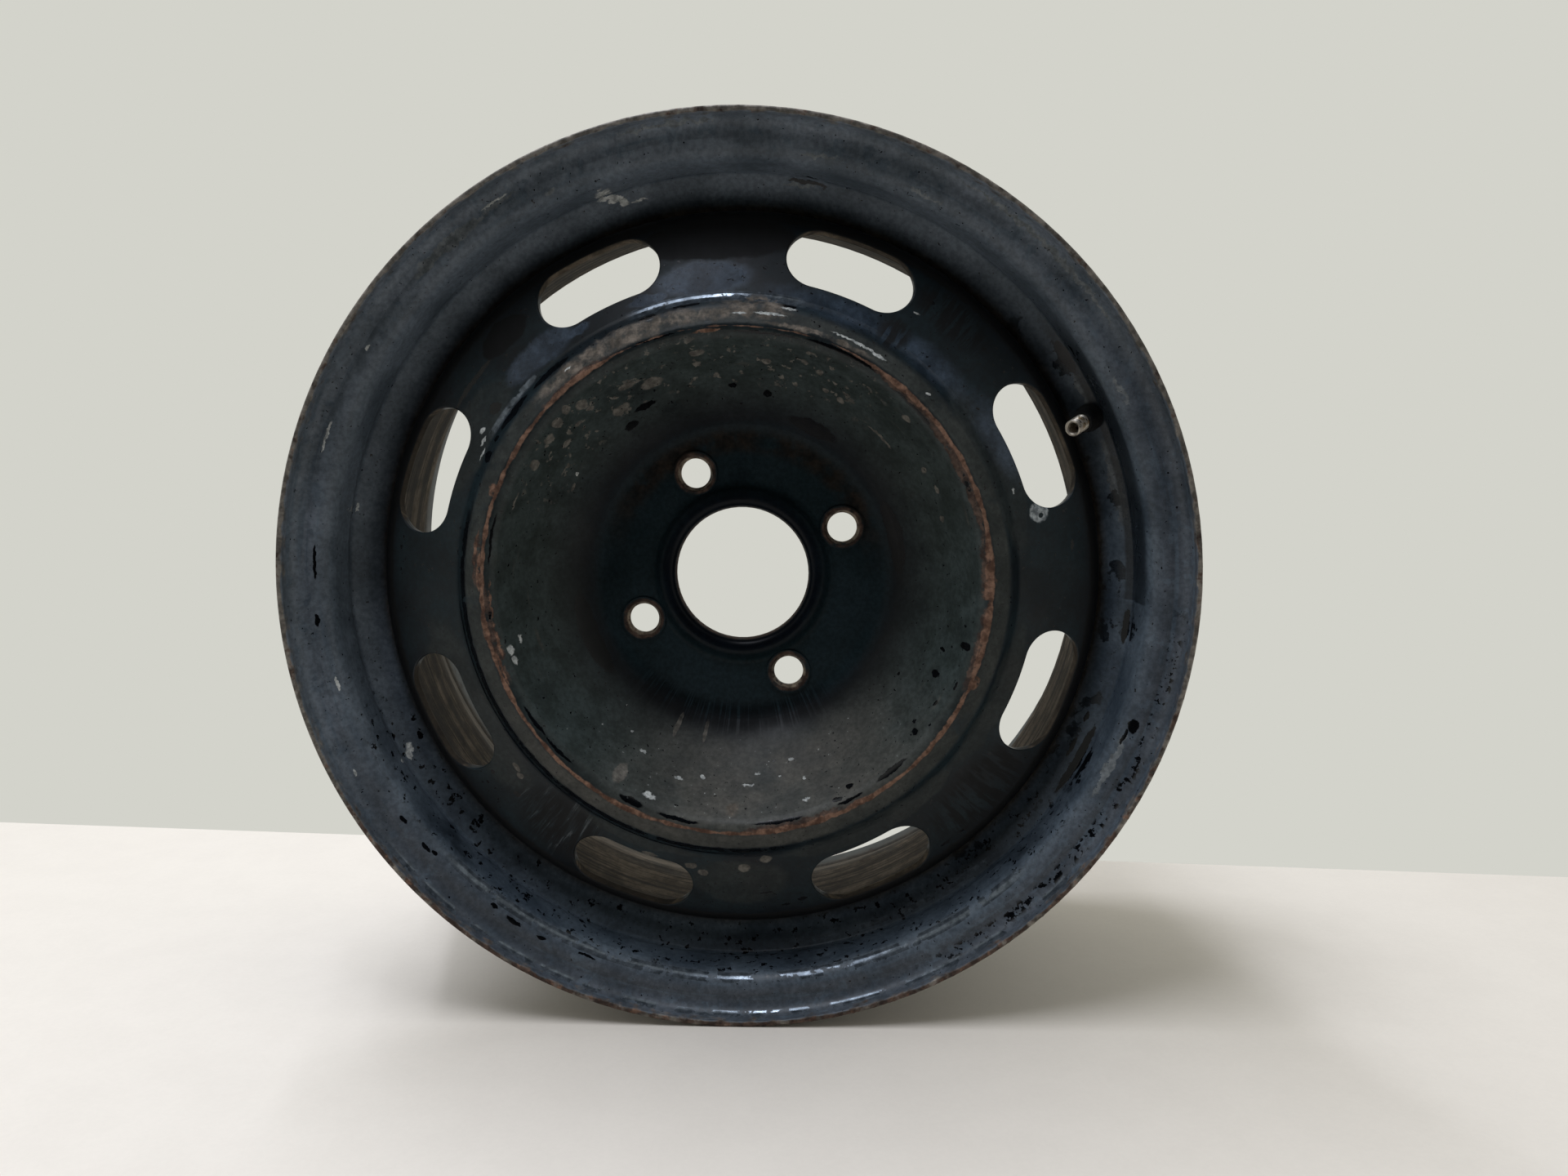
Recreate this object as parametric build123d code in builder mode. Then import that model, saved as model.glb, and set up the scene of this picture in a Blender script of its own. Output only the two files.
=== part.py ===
from build123d import *
import os
from math import atan2, cos, degrees, radians, sin, tan

# Pressed-steel road wheel, 15 x 6 J, with a short snap-in valve.
# Wheel axis along Y, outboard face towards -Y, +Z up.
# The origin is on the axis at the rim's mid-plane. Millimetres.

os.makedirs("parts", exist_ok=True)

# Rim contour, on the tyre side of the sheet
rim_sheet = 2.7
seat_radius = 190.1
rim_width = 152.4
flange_height = 17.3
flange_curl = 9.5
flange_heel = 6.5
lip_reach = 12.5
lip_edge_round = 0.9
seat_taper = 5.0
seat_width = 18.2
hump_height = 0.9
hump_ramp = 2.8
hump_round = 4.0
well_depth = 17.4
well_edge_in = 24.7
well_floor_in = 36.6
well_floor_width = 45.6
well_edge_bend = 5.0
well_bend = 6.0
well_rise_bend = 18.0
rise_end_in = 23.8
seat_blend = 3.0

# Disc contour, on the outboard side of the sheet, depths from the lip plane
disc_sheet = 4.0
wheel_offset = 27.0
bore_radius = 32.55
collar_height = 4.0
collar_radius = 39.9
collar_bend_inside = 1.0
collar_blend_inside = 0.2
collar_short = 0.3
pad_radius = 70.0
pad_bend = 12.0
bowl_mid_out = 0.54
bowl_mid_up = 0.329
bowl_bend = 90.0
crest_run = 11.9
crest_depth = 4.8
crest_bend_inside = 2.5
crown_run = 4.8
crown_depth = 10.1
crown_bend_inside = 4.0
step_depth = 15.8
step_bend = 6.0
slope_run = 40.65
slope_end_depth = 32.7
flange_bend_inside = 4.0
flange_end_from_mid = 14.0
press_gap = 0.05

# Bolt seats, vent slots and weld seam
clock = 24.9
bolt_circle = 108.0
bolt_count = 4
bolt_hole_radius = 7.25
bolt_seat_radius = 8.9
bolt_seat_angle = 60.0
bolt_boss_radius = 10.8
bolt_boss_height = 1.0
slot_count = 8
slot_step_gap = 8.9
slot_rim_gap = 5.85
slot_length = 60.0
slot_edge_round = 0.7
weld_count = 8
weld_arc = 24.0
weld_leg = 4.2
weld_throat = 3.6
weld_sink = 0.4

# Valve
valve_hole_radius = 5.75
valve_rise = 8.2
valve_reach = 22.0
neck_gap = 0.05
face_gap = 0.25
head_radius = 8.3
head_height = 6.5
head_end_radius = 5.6
shoulder_radius = 6.4
shoulder_height = 3.2
rubber_length = 11.0
rubber_end_radius = 4.9
stem_thread_radius = 3.85
stem_shank_radius = 2.9
stem_bore_radius = 2.0
stem_mouth_radius = 3.0
stem_chamber_radius = 2.4
stem_chamber_depth = 8.0
stem_mouth_depth = 0.8
stem_chamfer = 0.5
bond_gap = 0.02

# Sizes that follow from the ones above
half_width = rim_width / 2
lip_plane = half_width + lip_reach
flange_radius = seat_radius + flange_height
taper = tan(radians(seat_taper))
seat_end = half_width - seat_width
seat_end_radius = seat_radius - seat_width * taper
hump_radius = seat_end_radius + hump_height
hump_crest = seat_end - hump_ramp
well_radius = seat_radius - well_depth
well_edge = half_width - well_edge_in
well_floor_outboard = half_width - well_floor_in
well_floor_inboard = well_floor_width - well_floor_outboard
rise_end = half_width - rise_end_in
rise_end_radius = seat_radius - rise_end_in * taper


def left_side(corners, bends, sheet):
    # The other side of a bent sheet: corners and bends one sheet thickness to the left.
    points = [Vector(corner) for corner in corners]
    ways = [(end - start).normalized() for start, end in zip(points, points[1:])]
    normals = [Vector(-way.Y, way.X) for way in ways]
    moved = [points[0] + normals[0] * sheet]
    moved_bends = []
    for corner, before, after, bend in zip(points[1:], normals, normals[1:], bends):
        moved.append(corner + (before + after) * (sheet / (1 + before.dot(after))))
        turns_left = before.cross(after).Z > 0
        moved_bends.append(bend - sheet if turns_left else bend + sheet)
    moved.append(points[-1] + normals[-1] * sheet)
    return moved, moved_bends


# Rim: one strip, rolled to the contour and closed into a ring
rim_corners = [
    (flange_radius, -lip_plane),
    (flange_radius, -half_width),
    (seat_radius, -half_width),
    (seat_end_radius, -seat_end),
    (hump_radius, -hump_crest),
    (hump_radius, -well_edge),
    (well_radius, -well_floor_outboard),
    (well_radius, well_floor_inboard),
    (rise_end_radius, rise_end),
    (hump_radius, hump_crest),
    (seat_end_radius, seat_end),
    (seat_radius, half_width),
    (flange_radius, half_width),
    (flange_radius, lip_plane),
]
rim_bends = [
    flange_curl,
    flange_heel,
    seat_blend,
    hump_round,
    well_edge_bend,
    well_bend,
    well_rise_bend,
    seat_blend,
    hump_round,
    seat_blend,
    flange_heel,
    flange_curl,
]
rim_hub_corners, rim_hub_bends = left_side(rim_corners, rim_bends, rim_sheet)
with BuildPart() as rim:
    with BuildSketch(Plane.XY):
        with BuildLine():
            FilletPolyline(*rim_corners, radius=rim_bends)
            FilletPolyline(*rim_hub_corners, radius=rim_hub_bends)
            Line(rim_corners[0], rim_hub_corners[0])
            Line(rim_corners[-1], rim_hub_corners[-1])
        make_face()
    revolve(axis=Axis.Y)
    lip_edges = rim.edges().filter_by(GeomType.CIRCLE).group_by(Axis.Y)
    fillet(lip_edges[0] + lip_edges[-1], lip_edge_round)

# Valve seat: a plane on the hub side of the well's outboard wall
wall_run = well_edge - well_floor_outboard
wall_drop = hump_radius - well_radius
wall_lean = atan2(wall_run, wall_drop)
valve_seat_radius = well_radius + valve_rise
wall_out = well_floor_outboard + rim_sheet * cos(wall_lean)
wall_in_radius = well_radius - rim_sheet * sin(wall_lean)
valve_seat_from_mid = wall_out + (valve_seat_radius - wall_in_radius) * tan(wall_lean)
clock_out = Vector(cos(radians(clock)), 0, sin(radians(clock)))
clock_side = Vector(-sin(radians(clock)), 0, cos(radians(clock)))
outboard = Vector(0, -1, 0)
valve_point = clock_out * valve_seat_radius + outboard * valve_seat_from_mid
valve_axis = outboard * cos(wall_lean) - clock_out * sin(wall_lean)
valve_seat = Plane(valve_point, x_dir=clock_side, z_dir=valve_axis)
valve_section = Plane(valve_point, x_dir=clock_side, z_dir=clock_side.cross(valve_axis))
valve_line = Axis(valve_point, valve_axis)

with rim:
    with BuildSketch(valve_seat.offset(rim_sheet)):
        Circle(valve_hole_radius)
    extrude(amount=-4 * rim_sheet, mode=Mode.SUBTRACT)

# Disc: one blank, drawn to the contour, pressed into the rim's well
pad_plane = wheel_offset + disc_sheet
disc_flange_radius = well_radius - rim_sheet - press_gap
step_radius = disc_flange_radius - slope_run
crown_radius = step_radius - crown_run
crest_radius = crown_radius - crest_run
bowl_depth = lip_plane - pad_plane - crest_depth
bowl_mid_radius = pad_radius + bowl_mid_out * (crest_radius - pad_radius)
slope_angle = atan2(slope_end_depth - step_depth, slope_run)
disc_corners = [
    (bore_radius, -wheel_offset - collar_short),
    (bore_radius, -pad_plane - collar_height),
    (collar_radius, -pad_plane - collar_height),
    (collar_radius + collar_height, -pad_plane),
    (pad_radius, -pad_plane),
    (bowl_mid_radius, -pad_plane - bowl_mid_up * bowl_depth),
    (crest_radius, crest_depth - lip_plane),
    (crown_radius, crown_depth - lip_plane),
    (step_radius, step_depth - lip_plane),
    (disc_flange_radius, slope_end_depth - lip_plane),
    (disc_flange_radius, -flange_end_from_mid),
]
disc_bends = [
    disc_sheet + collar_bend_inside,
    disc_sheet + collar_blend_inside,
    disc_sheet + collar_blend_inside,
    pad_bend,
    bowl_bend,
    disc_sheet + crest_bend_inside,
    disc_sheet + crown_bend_inside,
    step_bend,
    disc_sheet + flange_bend_inside,
]
disc_back_corners, disc_back_bends = left_side(disc_corners, disc_bends, disc_sheet)

with BuildPart() as disc:
    with BuildSketch(Plane.XY):
        with BuildLine():
            FilletPolyline(*disc_corners, radius=disc_bends)
            FilletPolyline(*disc_back_corners, radius=disc_back_bends)
            Line(disc_corners[0], disc_back_corners[0])
            Line(disc_corners[-1], disc_back_corners[-1])
        make_face()
    revolve(axis=Axis.Y)

    # Coined bolt seats: a low raised land, a through hole and a conical seat
    pad_face = Plane((0, -pad_plane, 0), x_dir=(1, 0, 0), z_dir=(0, -1, 0))
    with BuildSketch(pad_face):
        with PolarLocations(bolt_circle / 2, bolt_count, start_angle=clock):
            Circle(bolt_boss_radius)
    extrude(amount=bolt_boss_height)
    extrude_through = bolt_boss_height + 2 * disc_sheet
    with Locations(pad_face.offset(bolt_boss_height)):
        with PolarLocations(bolt_circle / 2, bolt_count, start_angle=clock):
            CounterSinkHole(
                bolt_hole_radius,
                bolt_seat_radius,
                depth=extrude_through,
                counter_sink_angle=bolt_seat_angle,
            )

    # Vent slots: kidney-shaped, punched square to the sloping face
    slot_inner_radius = step_radius + slot_step_gap
    slot_outer_radius = disc_flange_radius - slot_rim_gap
    slot_mid_radius = (slot_inner_radius + slot_outer_radius) / 2
    slot_height = (slot_outer_radius - slot_inner_radius) / cos(slope_angle)
    slot_depth = step_depth + (slot_mid_radius - step_radius) * tan(slope_angle)
    slot_bow = slot_mid_radius / cos(slope_angle)
    slot_sweep = degrees((slot_length - slot_height) / slot_bow)
    slot_start = -90 - slot_sweep / 2
    for slot in range(slot_count):
        turn = radians(clock + slot * 360 / slot_count)
        out = Vector(cos(turn), 0, sin(turn))
        side = Vector(-sin(turn), 0, cos(turn))
        square = out * sin(slope_angle) + outboard * cos(slope_angle)
        slot_point = out * slot_mid_radius + outboard * (lip_plane - slot_depth)
        slot_plane = Plane(slot_point, x_dir=side, z_dir=square)
        with BuildSketch(slot_plane.offset(disc_sheet)):
            with BuildLine():
                outer_edge = CenterArc((0, slot_bow), slot_bow + slot_height / 2, slot_start, slot_sweep)
                inner_edge = CenterArc((0, slot_bow), slot_bow - slot_height / 2, slot_start, slot_sweep)
                TangentArc(outer_edge @ 1, inner_edge @ 1, tangent=outer_edge % 1)
                TangentArc(outer_edge @ 0, inner_edge @ 0, tangent=-(outer_edge % 0))
            make_face()
        extrude(amount=-4 * disc_sheet, mode=Mode.SUBTRACT)
        punched = disc.edges(Select.LAST).filter_by(GeomType.LINE, reverse=True)
        fillet(punched, slot_edge_round)

    # Weld seam: short runs laid along the flange's inboard edge
    weld_root = -flange_end_from_mid - weld_sink
    weld_toe = -flange_end_from_mid + weld_leg
    weld_outer = disc_flange_radius - press_gap
    weld_inner = weld_outer - weld_throat
    for run in range(weld_count):
        start = -clock - (run + 0.5) * 360 / weld_count - weld_arc / 2
        with BuildSketch(Plane.XY.rotated((0, start, 0))):
            with BuildLine():
                Polyline((weld_outer, weld_toe), (weld_outer, weld_root), (weld_inner, weld_root))
                RadiusArc((weld_inner, weld_root), (weld_outer, weld_toe), weld_leg * 1.4)
            make_face()
        revolve(axis=Axis.Y, revolution_arc=weld_arc)

# Valve stem: a metal tube, its shank bonded in the rubber, its threaded end bare
stem_foot = -rim_sheet - face_gap - head_height
thread_start = rubber_length + bond_gap
chamber_floor = valve_reach - stem_chamber_depth
with BuildPart() as valve_stem:
    with BuildSketch(valve_section):
        with BuildLine():
            Polyline(
                (stem_bore_radius, stem_foot),
                (stem_shank_radius, stem_foot),
                (stem_shank_radius, thread_start),
                (stem_thread_radius, thread_start),
                (stem_thread_radius, valve_reach - stem_chamfer),
                (stem_thread_radius - stem_chamfer, valve_reach),
                (stem_mouth_radius, valve_reach),
                (stem_chamber_radius, valve_reach - stem_mouth_depth),
                (stem_chamber_radius, chamber_floor),
                (stem_bore_radius, chamber_floor - stem_mouth_depth),
                close=True,
            )
        make_face()
    revolve(axis=valve_line)

# Valve body: rubber, its neck gripping the hole and its head on the tyre side
head_face = -rim_sheet - face_gap
grip_radius = stem_shank_radius + bond_gap
with BuildPart() as valve_body:
    with BuildSketch(valve_section):
        with BuildLine():
            Polyline(
                (grip_radius, stem_foot),
                (head_end_radius, stem_foot),
                (head_radius, head_face - head_height / 3),
                (head_radius, head_face),
                (valve_hole_radius - neck_gap, head_face),
                (valve_hole_radius - neck_gap, face_gap),
                (shoulder_radius, face_gap),
                (shoulder_radius, shoulder_height),
                (rubber_end_radius, rubber_length),
                (grip_radius, rubber_length),
                close=True,
            )
        make_face()
    revolve(axis=valve_line)

rim.part.label = "rim"
disc.part.label = "disc"
valve_body.part.label = "valve_body"
valve_stem.part.label = "valve_stem"

export_step(rim.part, "parts/rim.step")
export_step(disc.part, "parts/disc.step")
export_step(valve_body.part, "parts/valve_body.step")
export_step(valve_stem.part, "parts/valve_stem.step")
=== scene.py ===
import logging
import math
from dataclasses import dataclass
from enum import Enum
from functools import reduce
from typing import Any, Sequence

import bpy
import numpy as np
from mathutils import Matrix, Vector


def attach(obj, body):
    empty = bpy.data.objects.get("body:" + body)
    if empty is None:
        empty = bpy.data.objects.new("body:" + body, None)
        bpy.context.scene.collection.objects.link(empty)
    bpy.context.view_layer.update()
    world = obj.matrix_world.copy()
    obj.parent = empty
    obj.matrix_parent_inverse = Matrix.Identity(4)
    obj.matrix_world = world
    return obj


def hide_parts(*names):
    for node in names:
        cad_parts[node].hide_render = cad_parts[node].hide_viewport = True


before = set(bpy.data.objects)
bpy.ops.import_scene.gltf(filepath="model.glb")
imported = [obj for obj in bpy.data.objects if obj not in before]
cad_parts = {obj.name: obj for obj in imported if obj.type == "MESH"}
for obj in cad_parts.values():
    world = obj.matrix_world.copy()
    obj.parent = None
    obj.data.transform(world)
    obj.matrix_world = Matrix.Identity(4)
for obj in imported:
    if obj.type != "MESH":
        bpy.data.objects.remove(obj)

# Metres for geometry, millimetres in the materials. The wheel's axis is Y and its
# outboard face looks towards -Y. Angles on the face run clockwise from the right.
LOG = logging.getLogger("steel_wheel")
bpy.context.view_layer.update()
Socket = bpy.types.NodeSocket
Value = Any
Span = tuple[float, float]
Point = tuple[float, float, float]
# Millimetres in a metre, and degrees in a radian.
MM = 1000.0
DEGREES = 180.0 / math.pi
# Where angles on the face start and end, so that no patch near 0 is cut in two.
ANGLE_FROM, ANGLE_TO = 3.0, 363.0
# Every noise: its finest blotch, how rough it is, and how far apart two of them lie.
FINEST_MM = 0.5
NOISE_ROUGHNESS = 0.62
NOISE_SHIFT = 31.7
# The radius at which a pattern that is drawn out has its true size.
TRUE_AT_MM = 180.0
# Paint's index of refraction, and the colour that fine grit multiplies it by.
PAINT_IOR = 1.35
GRIT_SHADE = (0.66, 0.66, 0.66, 1.0)
NO_SHADE = (1.0, 1.0, 1.0, 1.0)
# The height of orange peel in the paint.
PEEL_MM = 0.008


class Slot(Enum):
    """The record's material slots."""

    RIM = "rim_paint"
    DISC = "disc_paint"
    RUBBER = "valve_rubber"
    METAL = "valve_metal"


class Lie(Enum):
    """How a pattern lies on the wheel: how many times longer it is round the turning."""

    PLAIN = 1.0
    ROUND = 32.0
    SPOKE = 0.1


class Grain(Enum):
    """The sizes of blotches, in millimetres."""

    SPECK = 2.2
    FINE = 4.5
    SMALL = 8.0
    MIDDLE = 14.0
    COARSE = 32.0


def linear(hex_colour: str) -> tuple[float, float, float, float]:
    """Turns an sRGB hex colour into linear RGBA.

    Args:
        hex_colour: six hex digits after a #.

    Returns:
        The linear colour with alpha 1.
    """
    srgb = np.array([int(hex_colour[i:i + 2], 16) for i in (1, 3, 5)]) / 255.0
    rgb = np.where(srgb <= 0.04045, srgb / 12.92, ((srgb + 0.055) / 1.055) ** 2.4)
    return (float(rgb[0]), float(rgb[1]), float(rgb[2]), 1.0)


def add(
    tree: bpy.types.NodeTree, kind: str, inputs: dict[Any, Value], out: int = 0, **settings: Any
) -> Socket | None:
    """Adds one shader node with its settings, values and links.

    Args:
        tree: the node tree.
        kind: the node's type name after "ShaderNode".
        inputs: a value or an output socket for each input, by name or number.
        out: the number of the output wanted.
        **settings: properties of the node.

    Returns:
        The wanted output socket, or None for a node without outputs.
    """
    node = tree.nodes.new("ShaderNode" + kind)
    for key, value in settings.items():
        setattr(node, key, value)
    for key, value in inputs.items():
        if isinstance(value, Socket):
            tree.links.new(value, node.inputs[key])
        else:
            node.inputs[key].default_value = value
    return node.outputs[out] if node.outputs else None


@dataclass(frozen=True)
class Finish:
    """One finish: two colours mottled together, its roughness and metal."""

    light: str
    dark: str
    grain: Grain
    roughness: float
    metallic: float = 0.0


@dataclass(frozen=True)
class Patch:
    """An oval on the wheel's face: middle and half sizes in degrees and millimetres."""

    angle: float
    radius: float
    half_angle: float
    half_radius: float


# Stove enamel, sprayed and baked: a near-black with a blue cast and a low gloss.
ENAMEL = Finish("#0b131b", "#080d14", Grain.COARSE, 0.32)
# The same enamel where the road film has flaked off it: blacker and glossier. Also laid as painted shade
# along the disc's step at the lower left.
GLOSS_AND_SHADE = Finish("#06090e", "#040609", Grain.COARSE, 0.24)
# Black grime packed into the joint of disc and rim, with painted shade in that crevice; also the matt black
# runs and patches on the disc.
GRIME_AND_SHADE = Finish("#07090c", "#040507", Grain.SMALL, 0.60)
# Enamel that still holds its shop gloss, lightened to a pale blue as a painted reflection of the room's
# light.
GLOSS_AND_BLUE_SHEEN = Finish("#4a5869", "#2c3744", Grain.MIDDLE, 0.26)
# Dried road film on the flange, a thin blue-grey haze.
FLANGE_FILM = Finish("#545b64", "#424951", Grain.COARSE, 0.44)
# Film on the flange's upper and left part, paler there as painted light falling from above and the left.
TOP_FILM_AND_LIGHT = Finish("#6e7782", "#58616a", Grain.COARSE, 0.46)
# Thinner film in the well's wall.
WALL_FILM = Finish("#5d6a76", "#434f5b", Grain.COARSE, 0.44)
# Charcoal film with a green cast, baked on in the bowl.
BOWL_FILM = Finish("#3c4646", "#2c3534", Grain.MIDDLE, 0.50)
# Paler, warmer film low in the bowl, lighter there as painted light where the bowl faces up; also the pale
# hair scratches.
PALE_FILM_AND_LIGHT = Finish("#5a5852", "#494945", Grain.MIDDLE, 0.55)
# Thin blue-green film on the hub pad.
PAD_FILM = Finish("#212f35", "#1a282d", Grain.COARSE, 0.45)
# Film on the sloping band.
SLOPE_FILM = Finish("#16262c", "#0b171d", Grain.COARSE, 0.50)
# Warm grey film, thicker, with hard edges.
GREY_FILM = Finish("#3b3f3d", "#2a2f2e", Grain.MIDDLE, 0.62)
# Tan dust settled along the crown.
TAN_DUST = Finish("#93877b", "#544c43", Grain.SMALL, 0.80)
# Brown dust on the pad.
PAD_DUST = Finish("#2f2924", "#191a1a", Grain.SMALL, 0.75)
# Orange-brown rust scale, rough.
RUST = Finish("#8b6c5a", "#573f33", Grain.FINE, 0.88)
# Darker, older rust.
OLD_RUST = Finish("#5f4e45", "#3a2f2a", Grain.FINE, 0.88)
# Grey steel at the lip, rubbed bare.
BARE_LIP = Finish("#8b857d", "#5a5650", Grain.FINE, 0.55, 0.25)
# Enamel rubbed to a shine along the bends, pale and metallic: a painted highlight where the overhead lamps
# glint.
RUBBED_AND_GLINT = Finish("#6a737c", "#4a525a", Grain.FINE, 0.16, 0.5)
# Grey scabs of faded paint.
FADED = Finish("#767c80", "#5a6064", Grain.FINE, 0.52)
# Grey-brown spots where the film has bitten into the enamel.
FLECK = Finish("#7a766f", "#56534e", Grain.FINE, 0.78)
# Pale chips of primer and lime; two marks on the disc's crown are painted glints.
PALE_CHIPS_AND_GLINTS = Finish("#d2d5d3", "#9a9e9d", Grain.SPECK, 0.66)
# A smear of bright metal left by a tool.
SMEAR = Finish("#b4bbbf", "#6f767c", Grain.SPECK, 0.40, 0.5)
# Brown brake dirt inside the barrel, drawn out along the turning.
BARREL_DIRT = Finish("#7e7161", "#52483b", Grain.MIDDLE, 0.88)
DARK_STREAK = Finish("#3d362d", "#2a2621", Grain.MIDDLE, 0.85)
# Rubbed steel at hole edges.
WORN_EDGE = Finish("#9a8c7b", "#6b5f52", Grain.FINE, 0.55, 0.35)


class Coat:
    """One material, laid up in layers over its base finish."""

    def __init__(self, name: str, base: Finish, seed: float) -> None:
        """Starts the material and works out the wheel's own coordinates in millimetres.

        Args:
            name: the material's name.
            base: the finish under everything.
            seed: shifts every noise of this material.
        """
        self.material = bpy.data.materials.new(name)
        self.material.use_nodes = True
        self.tree = self.material.node_tree
        self.tree.nodes.clear()
        self.seed = seed
        self.noises: dict[tuple[Grain, int, Lie], Socket] = {}
        metres = self.node("TexCoord", {}, 3)
        self.place = self.node("VectorMath", {0: metres, "Scale": MM}, operation="SCALE")
        normal = self.node("TexCoord", {}, 1)
        across = self.node("SeparateXYZ", {0: self.place}, 0)
        self.depth = self.node("SeparateXYZ", {0: self.place}, 1)
        height = self.node("SeparateXYZ", {0: self.place}, 2)
        flat = self.node("VectorMath", {0: self.place, 1: (1.0, 0.0, 1.0)}, operation="MULTIPLY")
        self.radius = self.node("VectorMath", {0: flat}, 1, operation="LENGTH")
        outward = self.node("VectorMath", {0: flat}, operation="NORMALIZE")
        turn = self.math("ARCTAN2", self.math("MULTIPLY", height, -1.0), across)
        self.angle = self.math("WRAP", self.math("MULTIPLY", turn, DEGREES), ANGLE_TO, ANGLE_FROM)
        self.polar = self.node("CombineXYZ", {0: self.angle, 1: self.radius})
        self.facing_out = self.node("VectorMath", {0: normal, 1: outward}, 1, operation="DOT_PRODUCT")
        self.facing_in = self.node("SeparateXYZ", {0: normal}, 1)
        rise = self.node("CombineXYZ", {1: self.math("ADD", self.radius, self.depth)})
        self.spaces = {Lie.PLAIN: self.place}
        for lie in (Lie.ROUND, Lie.SPOKE):
            inputs = {0: outward, 1: (TRUE_AT_MM / lie.value,) * 3, 2: rise}
            self.spaces[lie] = self.node("VectorMath", inputs, operation="MULTIPLY_ADD")
        self.colour: Value = self.mottle(base)
        self.roughness: Value = base.roughness
        self.metallic: Value = base.metallic

    def node(self, kind: str, inputs: dict[Any, Value], out: int = 0, **settings: Any) -> Socket:
        """Adds a node to this material's tree."""
        return add(self.tree, kind, inputs, out, **settings)

    def math(self, operation: str, *values: Value) -> Socket:
        """Joins values by one sum."""
        return self.node("Math", dict(enumerate(values)), operation=operation)

    def step(self, value: Value, low: float, high: float) -> Socket:
        """Runs smoothly from 0 at low to 1 at high; high may be the smaller."""
        return self.node("MapRange", {0: value, 1: low, 2: high}, interpolation_type="SMOOTHSTEP")

    def band(self, value: Value, low: float, high: float, soft: float) -> Socket:
        """Is 1 between two values, with soft edges."""
        rise = self.step(value, low - soft, low + soft)
        return self.math("MULTIPLY", rise, self.step(value, high + soft, high - soft))

    def sector(self, angles: Span, radii: Span, soft: Span) -> Socket:
        """Is 1 in a piece of a ring, with soft edges in degrees and millimetres."""
        around = self.band(self.angle, *angles, soft[0])
        return self.math("MULTIPLY", around, self.band(self.radius, *radii, soft[1]))

    def both(self, *masks: Value) -> Socket:
        """Multiplies masks together."""
        return reduce(lambda one, two: self.math("MULTIPLY", one, two), masks)

    def either(self, *masks: Value) -> Socket:
        """Takes the strongest of the masks."""
        return reduce(lambda one, two: self.math("MAXIMUM", one, two), masks)

    def noise(self, grain: Grain, layer: int = 0, lie: Lie = Lie.PLAIN) -> Socket:
        """Gives a noise with blotches of one size, made once for each size, layer and lie.

        Args:
            grain: the blotch size, across the way that it is drawn out.
            layer: a number for another noise of the same size.
            lie: which way the blotches are drawn out.

        Returns:
            The noise, about 0 to 1.
        """
        key = (grain, layer, lie)
        if key not in self.noises:
            shift = self.seed + NOISE_SHIFT * len(self.noises)
            inputs = {0: self.spaces[lie], 1: (1.0 / grain.value,) * 3, 2: (shift, -shift, 0.5 * shift)}
            place = self.node("VectorMath", inputs, operation="MULTIPLY_ADD")
            detail = math.log2(grain.value / FINEST_MM)
            inputs = {"Vector": place, "Scale": 1.0, "Detail": detail, "Roughness": NOISE_ROUGHNESS}
            self.noises[key] = self.node("TexNoise", inputs)
        return self.noises[key]

    def mottle(self, finish: Finish) -> Socket:
        """Mixes a finish's two colours in blotches of its own grain."""
        blotch = self.step(self.noise(finish.grain, 2), 0.36, 0.64)
        colours = {0: blotch, 6: linear(finish.dark), 7: linear(finish.light)}
        return self.node("Mix", colours, 2, data_type="RGBA")

    def ovals(
        self, patches: Sequence[Patch], ragged_mm: float, grain: Grain, edge: float = 0.08
    ) -> Socket:
        """Gives a mask of ovals with torn edges.

        The place in degrees and millimetres is shifted by two noises, each oval's own distance is
        worked out as 1 at its edge, and the nearest oval decides.

        Args:
            patches: the ovals.
            ragged_mm: how far the edges wander.
            grain: the size of the tears.
            edge: the softness of the edge as a share of the oval.

        Returns:
            The mask.
        """
        wander = self.node("CombineXYZ", {0: self.noise(grain, 0), 1: self.noise(grain, 1)})
        reach = (0.45 * ragged_mm, ragged_mm, 0.0)
        spot = self.node("VectorMath", {0: wander, 1: reach, 2: self.polar}, operation="MULTIPLY_ADD")
        nearest: Value = 9.0
        for patch in patches:
            half = (1.0 / patch.half_angle, 1.0 / patch.half_radius, 0.0)
            angle, radius = patch.angle + 0.5 * reach[0], patch.radius + 0.5 * reach[1]
            middle = (-angle * half[0], -radius * half[1], 0.0)
            apart = self.node("VectorMath", {0: spot, 1: half, 2: middle}, operation="MULTIPLY_ADD")
            distance = self.node("VectorMath", {0: apart}, 1, operation="LENGTH")
            nearest = self.math("MINIMUM", nearest, distance)
        return self.step(nearest, 1.0 + edge, 1.0 - edge)

    def islands(self, grain: Grain, share: Value, edge: float = 0.015, layer: int = 0) -> Socket:
        """Gives islands of noise: share is 0 for none and 1 for the whole face."""
        level = self.math("MULTIPLY_ADD", share, -0.5, 0.75)
        return self.step(self.math("SUBTRACT", self.noise(grain, layer), level), -edge, edge)

    def lay(self, finish: Finish, mask: Value) -> None:
        """Lays a finish over what is there, where the mask is 1.

        Args:
            finish: the finish to lay.
            mask: how much of it shows.
        """
        colours = {0: mask, 6: self.colour, 7: self.mottle(finish)}
        self.colour = self.node("Mix", colours, 2, data_type="RGBA")
        self.roughness = self.node("Mix", {0: mask, 2: self.roughness, 3: finish.roughness})
        if finish.metallic or isinstance(self.metallic, Socket):
            self.metallic = self.node("Mix", {0: mask, 2: self.metallic, 3: finish.metallic})

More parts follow.
